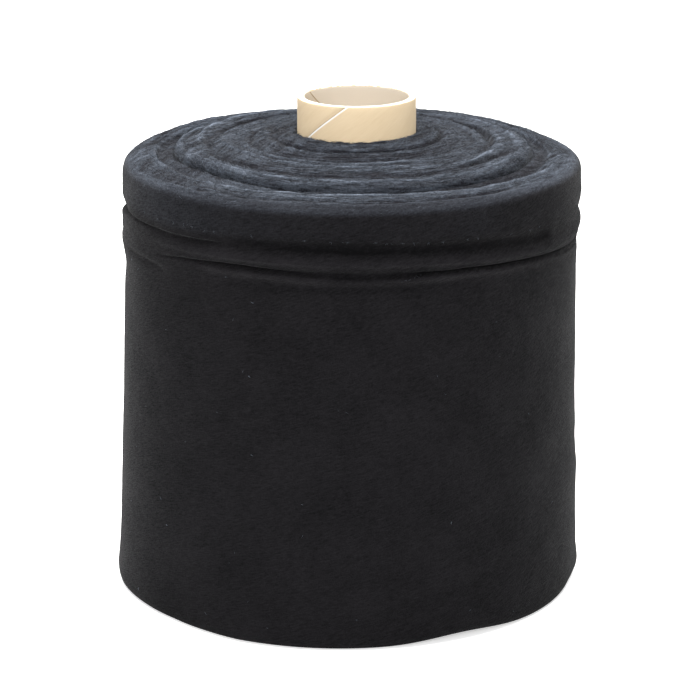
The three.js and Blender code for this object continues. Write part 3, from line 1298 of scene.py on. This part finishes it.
@dataclass
class Nap:
    """Loose fibres over part of the cloth, copied from one modelled tuft into a joined mesh.

    Sizes are in millimetres and angles in degrees. lift is how far tufts stand off the cloth, and
    spread how far they stray from the way the nap lies. tone_spread is how much paler or darker
    than the cloth below them they may be.
    """

    name: str
    seed: int
    length: tuple[float, float] = (2.5, 7.0)
    width: tuple[float, float] = (0.18, 0.4)
    lift: tuple[float, float] = (0.0, 9.0)
    spread: float = 11.0
    sink: float = 0.12
    tone_spread: float = 0.33
    palest_crest: float = 1.5
    brushing: Brushing = Brushing()

    def make(self, bed: Bed) -> Piece:
        """Grow a tuft at each place of a bed.

        Args:
            bed: where the tufts grow.

        Returns:
            The tufts, joined in one mesh that keeps the tone of each.
        """
        rng = np.random.default_rng(self.seed)
        count = len(bed.places)
        out = bed.outward
        way = self.brushing.ways(bed.places)
        way -= out * np.sum(way * out, axis=1)[:, None]
        way /= np.linalg.norm(way, axis=1)[:, None]
        turn = np.radians(rng.normal(0, self.spread, count))[:, None]
        flip = np.where(rng.random(count) < 0.5, -1.0, 1.0)[:, None]
        way = (way * np.cos(turn) + np.cross(out, way) * np.sin(turn)) * flip
        lift = np.radians(rng.uniform(*self.lift, count))[:, None]
        along = way * np.cos(lift) + out * np.sin(lift)
        side = np.cross(out, along)
        side /= np.linalg.norm(side, axis=1)[:, None]
        tuft, triangles = model_tuft()
        length = rng.uniform(*self.length, count)[:, None, None]
        width = rng.uniform(*self.width, count)[:, None, None]
        points = (bed.places - out * self.sink)[:, None]
        frames = (along, length), (side, width), (np.cross(along, side), width)
        for axis, (toward, size) in enumerate(frames):
            points = points + toward[:, None] * tuft[None, :, axis : axis + 1] * size
        faces = triangles[None] + (np.arange(count) * len(tuft))[:, None, None]
        piece = mesh_piece(self.name, points.reshape(-1, 3) * MM, faces.reshape(-1, 3))
        # Each tuft takes the light and shade painted on the cloth below it, with a random tone.
        crest = bed.crest + self.tone_spread * rng.normal(0, 1, count)
        tone = np.clip(crest, 0.0, self.palest_crest) / self.palest_crest
        keep(piece, "tone", np.repeat(tone, len(tuft)))
        return piece


def top_zone(places: Array, outward: Array) -> Array:
    """How thickly the nap of the top is sown.

    Args:
        places: n rows of x, y and z, in millimetres.
        outward: the outward way at each place.

    Returns:
        A share for each place.
    """
    thick = np.maximum(0.75 + 0.5 * grain(places, 6.0, 6.0, 6.0, 61), 0.1)
    on_top = rise(0.25, 0.6, outward[:, 2]) * (places[:, 2] > 314)
    return on_top * thick * (1 - 0.93 * rise(156.0, 163.0, places_of(places).radius))


def wall_zone(places: Array, outward: Array) -> Array:
    """How thickly lint is sown on the wall."""
    return (np.abs(outward[:, 2]) < 0.4) * (places[:, 2] > 12) * (places_of(places).radius > 150)


LINT_COUNT = 110
LINT_CREST = 1.1
OUTER_TUFTS = 18000
INNER_TUFTS = 34000
FRINGE_TUFTS = 260
PIN_LINE = np.array([(-60, 296.2), (-11, 296.0), (5, 294.8), (22, 292.6), (44, 291.0), (60, 290.0)])
PIN_PITCH = 3.3
PINS_KEPT = 0.65
PIN_CREST = 0.5
FIBRES_PER_PIN = 6
TAIL_START, TAIL_END = (12.5, 267.6), (18.0, 271.4)
TAIL_FIBRES = 9
FRINGE_RADII = (44.3, 46.2)
FRINGE_HEIGHT = 337.6
MM_PER_DEGREE = 2.9


def wall_bed(shell: Piece, marks: Array) -> Bed:
    """Find the places on a wall that lie nearest to marks.

    Args:
        shell: the outer run of turns.
        marks: n rows of azimuth in degrees and height in millimetres.

    Returns:
        The places, all with the same nap.
    """
    points = points_of(shell) / MM
    wall = places_of(points).radius > 160
    points, normals = points[wall], read_all(shell.data.vertices, "normal", 3)[wall]
    at = places_of(points)
    arc = at.degrees * MM_PER_DEGREE
    nearest = [
        int(np.argmin((arc - MM_PER_DEGREE * azimuth) ** 2 + (at.height - height) ** 2))
        for azimuth, height in marks
    ]
    return Bed(points[nearest], normals[nearest], np.full(len(nearest), PIN_CREST))


def pin_marks(seed: int) -> Array:
    """Place the tufts that the stretching frame's pins raised along the cloth's edge, some missing.

    Args:
        seed: which random placing.

    Returns:
        n rows of azimuth in degrees and height in millimetres.
    """
    rng = np.random.default_rng(seed)
    azimuth = np.arange(PIN_LINE[0, 0], PIN_LINE[-1, 0], PIN_PITCH)
    azimuth = azimuth[rng.random(len(azimuth)) < PINS_KEPT]
    height = np.interp(azimuth, *PIN_LINE.T) + rng.normal(0, 0.4, len(azimuth))
    marks = np.repeat(np.stack([azimuth, height], axis=1), FIBRES_PER_PIN, axis=0)
    tail = np.linspace(TAIL_START, TAIL_END, TAIL_FIBRES)
    return np.concatenate([marks + rng.normal(0, 0.14, marks.shape), tail])


def base_bed(core_x: float, count: int, seed: int) -> Bed:
    """Choose places close round the core, where the cloth meets it.

    Args:
        core_x: where the core's middle lies on X, in millimetres.
        count: how many places.
        seed: which random choice.

    Returns:
        The places, facing up.
    """
    rng = np.random.default_rng(seed)
    azimuth = rng.uniform(0, FULL_TURN, count)
    radius = rng.uniform(*FRINGE_RADII, count)
    places = set_round(radius, azimuth, np.full(count, FRINGE_HEIGHT)) + np.array([core_x, 0.0, 0.0])
    return Bed(places, np.tile(np.array([0.0, 0.0, 1.0]), (count, 1)), rng.uniform(0.0, 0.5, count))


# -------------------- the core


@dataclass
class CoreTube:
    """The spiral-wound paperboard core, with the edge of its winding outside and inside.

    Sizes are in millimetres and angles in degrees. seam_rise is how far the seams climb in each
    degree, gathering how closely the mesh is drawn together beside them, and drawn how far the
    paper's fibre is drawn out along them.
    """

    wall: float = 5.3
    corner: float = 0.6
    steps: int = 180
    seam_rise: float = 0.575
    outer_seam: float = -10.0
    inner_seam: float = -115.0
    gathering: float = 1.6
    seam_depth: float = 0.28
    strip: float = 30.0
    drawn: float = 0.3

    def make(self) -> Piece:
        """Turn the tube, shape its seams and set it in its place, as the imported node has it.

        Returns:
            The tube, as a closed shell.
        """
        low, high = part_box(CORE_NODE)
        outer = (high.x - low.x) / 2 / MM
        top = high.z / MM
        tube = turn_section("core_board", self.outline(outer, top), self.steps)
        at = places_of(points_of(tube) / MM)
        radius, height, angle = at.radius, at.height, at.degrees
        inward = np.clip((outer - radius) / self.wall, 0.0, 1.0)
        turned = angle + (1 - inward) * self.gathered(angle, self.outer_seam)
        turned = turned + inward * self.gathered(angle, self.inner_seam)
        outside, on_outside = self.past_seam(turned, radius, self.outer_seam), inward < 0.02
        inside, on_inside = self.past_seam(turned, radius, self.inner_seam), inward > 0.98
        lapped = on_outside * self.seam_depth * bell(np.minimum(outside + 0.2, 0.0), 3.0) * (outside < 0)
        radius = radius - lapped + on_inside * self.seam_depth * bell(inside, 0.5)
        heading = np.radians(turned + (height - top) / self.seam_rise)
        middle = np.array([(low.x + high.x) / 2, 0.0, 0.0])
        place_points(tube, set_round(radius, heading, height) * MM + middle)
        raw_edge = rise(0.0, 0.3, outside) * fall(1.6, 2.4, outside) * on_outside
        shade = bell(outside + 0.25, 0.4) * on_outside + bell(inside, 0.6) * on_inside
        strip = (inside > 0) * fall(self.strip, self.strip + 6, inside) * on_inside
        keep(tube, "seam", 0.5 + 0.5 * raw_edge - 0.5 * shade - 0.1 * strip)
        keep(tube, "inward", inward)
        back = rise(80.0, 120.0, np.abs(angle))
        worn = (0.3 + 0.7 * back) * bell(inward - 0.97, 0.1 + 0.24 * back) + 0.4 * bell(inward - 0.03, 0.04)
        keep(tube, "worn", np.minimum(worn, 1.0) * (height > top - 0.7 * self.corner))
        keep(tube, "wrap", set_round(radius, np.radians(turned), height * self.drawn) * MM)
        return tube

    def outline(self, outer: float, top: float) -> list[Station]:
        """Close the section of the tube's wall.

        Args:
            outer: the tube's radius outside, in millimetres.
            top: its height, in millimetres.

        Returns:
            The section's stations in order.
        """
        inner, c = outer - self.wall, self.corner
        rounded, straight, cut = 0.4, 3.6, 0.4
        cuff = 0.2 * c
        return join_runs(
            run_of(1.0, (inner + c, 0.0), (outer - c, 0.0)),
            run_of(rounded, (outer - c, 0.0), (outer - cuff, cuff), (outer, c)),
            run_of(straight, (outer, c), (outer, top - c)),
            run_of(rounded, (outer, top - c), (outer - cuff, top - cuff), (outer - c, top)),
            run_of(cut, (outer - c, top), (inner + c, top)),
            run_of(rounded, (inner + c, top), (inner + cuff, top - cuff), (inner, top - c)),
            run_of(straight, (inner, top - c), (inner, c)),
            run_of(rounded, (inner, c), (inner + cuff, cuff), (inner + c, 0.0)),
        )

    def gathered(self, angle: Array, seam: float) -> Array:
        """How far to turn each point so that the mesh is drawn together beside a seam, in degrees."""
        away = turned_from(angle, seam)
        return np.sign(away) * HALF_TURN_DEGREES * (np.abs(away) / HALF_TURN_DEGREES) ** self.gathering - away

    def past_seam(self, turned: Array, radius: Array, seam: float) -> Array:
        """How far points lie past a seam round the tube, in millimetres."""
        return turned_from(turned, seam) * radius * math.pi / HALF_TURN_DEGREES


# -------------------- the studio


class Lamp(NamedTuple):
    """A rectangular soft light: its place and size in metres, its power, and where it faces."""

    name: str
    place: tuple[float, float, float]
    size: tuple[float, float]
    watts: float
    aim: tuple[float, float, float]


LAMPS = (
    Lamp(name="overhead softbox", place=(0.0, 0.3, 1.9), size=(2.0, 1.8), watts=100, aim=(0.0, 0.3, 0.0)),
    Lamp(name="background softbox", place=(0.0, 3.2, 2.2), size=(3.4, 2.0), watts=60, aim=(0.0, 3.2, 0.0)),
    Lamp(name="front softbox", place=(-0.24, -3.2, 1.6), size=(1.6, 1.2), watts=70, aim=(0.0, 0.0, 0.15)),
)


@dataclass
class Studio:
    """A pale floor, soft light from overhead and the camera. Distances are in metres."""

    floor_span: float = 14.0
    camera_back: float = 2.05
    camera_height: float = 0.771974
    camera_tilt: float = math.radians(16.3482)
    camera_x: float = 0.0009
    lens: float = 147.0
    sky: float = 0.34

    def make(self) -> None:
        """Lay the floor, hang the lights and set the camera."""
        self.lay_floor()
        self.light_room()
        for lamp in LAMPS:
            self.hang(lamp)
        self.set_camera()
        bpy.context.scene.view_settings.view_transform = "Standard"

    def lay_floor(self) -> None:
        """Lay the pale floor under the roll."""
        deselect_all()
        bpy.ops.mesh.primitive_plane_add(size=self.floor_span, location=(0, 0, 0))
        floor = bpy.context.object
        floor.name = "studio_floor"
        dress(floor, FloorFinish().make())

    def light_room(self) -> None:
        """Fill the room with even white light."""
        world = bpy.data.worlds.new("pale room")
        world.use_nodes = True
        sky = world.node_tree.nodes["Background"]
        feed(world.node_tree, sky, {"Color": linear(WHITE), "Strength": self.sky})
        bpy.context.scene.world = world

    def set_up(self, data: bpy.types.ID, place: tuple[float, float, float]) -> Piece:
        """Stand a light or camera in its place.

        Args:
            data: the light or camera.
            place: where it stands, in metres.

        Returns:
            The object that holds it.
        """
        holder = bpy.data.objects.new(data.name, data)
        holder.location = place
        bpy.context.scene.collection.objects.link(holder)
        return holder

    def hang(self, lamp: Lamp) -> None:
        """Hang a soft light.

        Args:
            lamp: the light's place, size, power and aim.
        """
        light = bpy.data.lights.new(lamp.name, "AREA")
        light.shape = "RECTANGLE"
        light.size, light.size_y = lamp.size
        light.energy = lamp.watts
        facing = Vector(lamp.aim) - Vector(lamp.place)
        self.set_up(light, lamp.place).rotation_euler = facing.to_track_quat("-Z", "Y").to_euler()

    def set_camera(self) -> None:
        """Set the camera in front of the roll, looking a little down on it."""
        camera = bpy.data.cameras.new("camera")
        camera.lens = self.lens
        holder = self.set_up(camera, (self.camera_x, -self.camera_back, self.camera_height))
        holder.rotation_euler = (math.pi / 2 - self.camera_tilt, 0, 0)
        bpy.context.scene.camera = holder


def grow_naps(outer: Piece, inner: Piece) -> list[Piece]:
    """Grow every kind of loose fibre, on the two runs of turns and round the core.

    Args:
        outer: the outer run of turns.
        inner: the inner run of turns.

    Returns:
        A joined mesh of fibres for each kind.
    """
    pins = Nap("molton_pin_marks", 77, (0.9, 2.2), (0.4, 0.7), (0.0, 30.0), spread=50.0, tone_spread=0.2)
    lint = Nap("molton_lint", 79, (1.0, 3.0), (0.35, 0.7), (0.0, 20.0), spread=60.0, tone_spread=0.4)
    fringe = Nap("molton_core_fringe", 75, (0.8, 2.8), (0.2, 0.5), (8.0, 65.0))
    specks = sow(outer, LINT_COUNT, wall_zone, seed=80)
    return [
        pins.make(wall_bed(outer, pin_marks(seed=78))),
        lint.make(specks._replace(crest=np.full(LINT_COUNT, LINT_CREST))),
        Nap("molton_outer_nap", seed=71).make(sow(outer, OUTER_TUFTS, top_zone, seed=72)),
        Nap("molton_inner_nap", seed=73).make(sow(inner, INNER_TUFTS, top_zone, seed=74)),
        fringe.make(base_bed(WoundMolton.core_x, FRINGE_TUFTS, seed=76)),
    ]


def main() -> None:
    """Build the roll's pieces in order and set the studio around them."""
    logging.basicConfig(level=logging.INFO, format="%(name)s %(message)s")
    cloth = MoltonFinish().make()
    outer = WoundMolton(kind=WindingKind.OUTER, steps=388).make()
    inner = WoundMolton(kind=WindingKind.INNER, steps=452).make()
    for turns, nodes in ((outer, ("molton_roll",)), (inner, ())):
        dress(turns, cloth)
        mount_piece(turns, "molton", *nodes)
    loose = NapFinish().make()
    for fibres in grow_naps(outer, inner):
        dress(fibres, loose)
        mount_piece(fibres, "molton")
    board = CoreTube().make()
    dress(board, KraftFinish().make())
    mount_piece(board, "kraft_board", CORE_NODE)
    Studio().make()


if __name__ == "__main__":
    main()
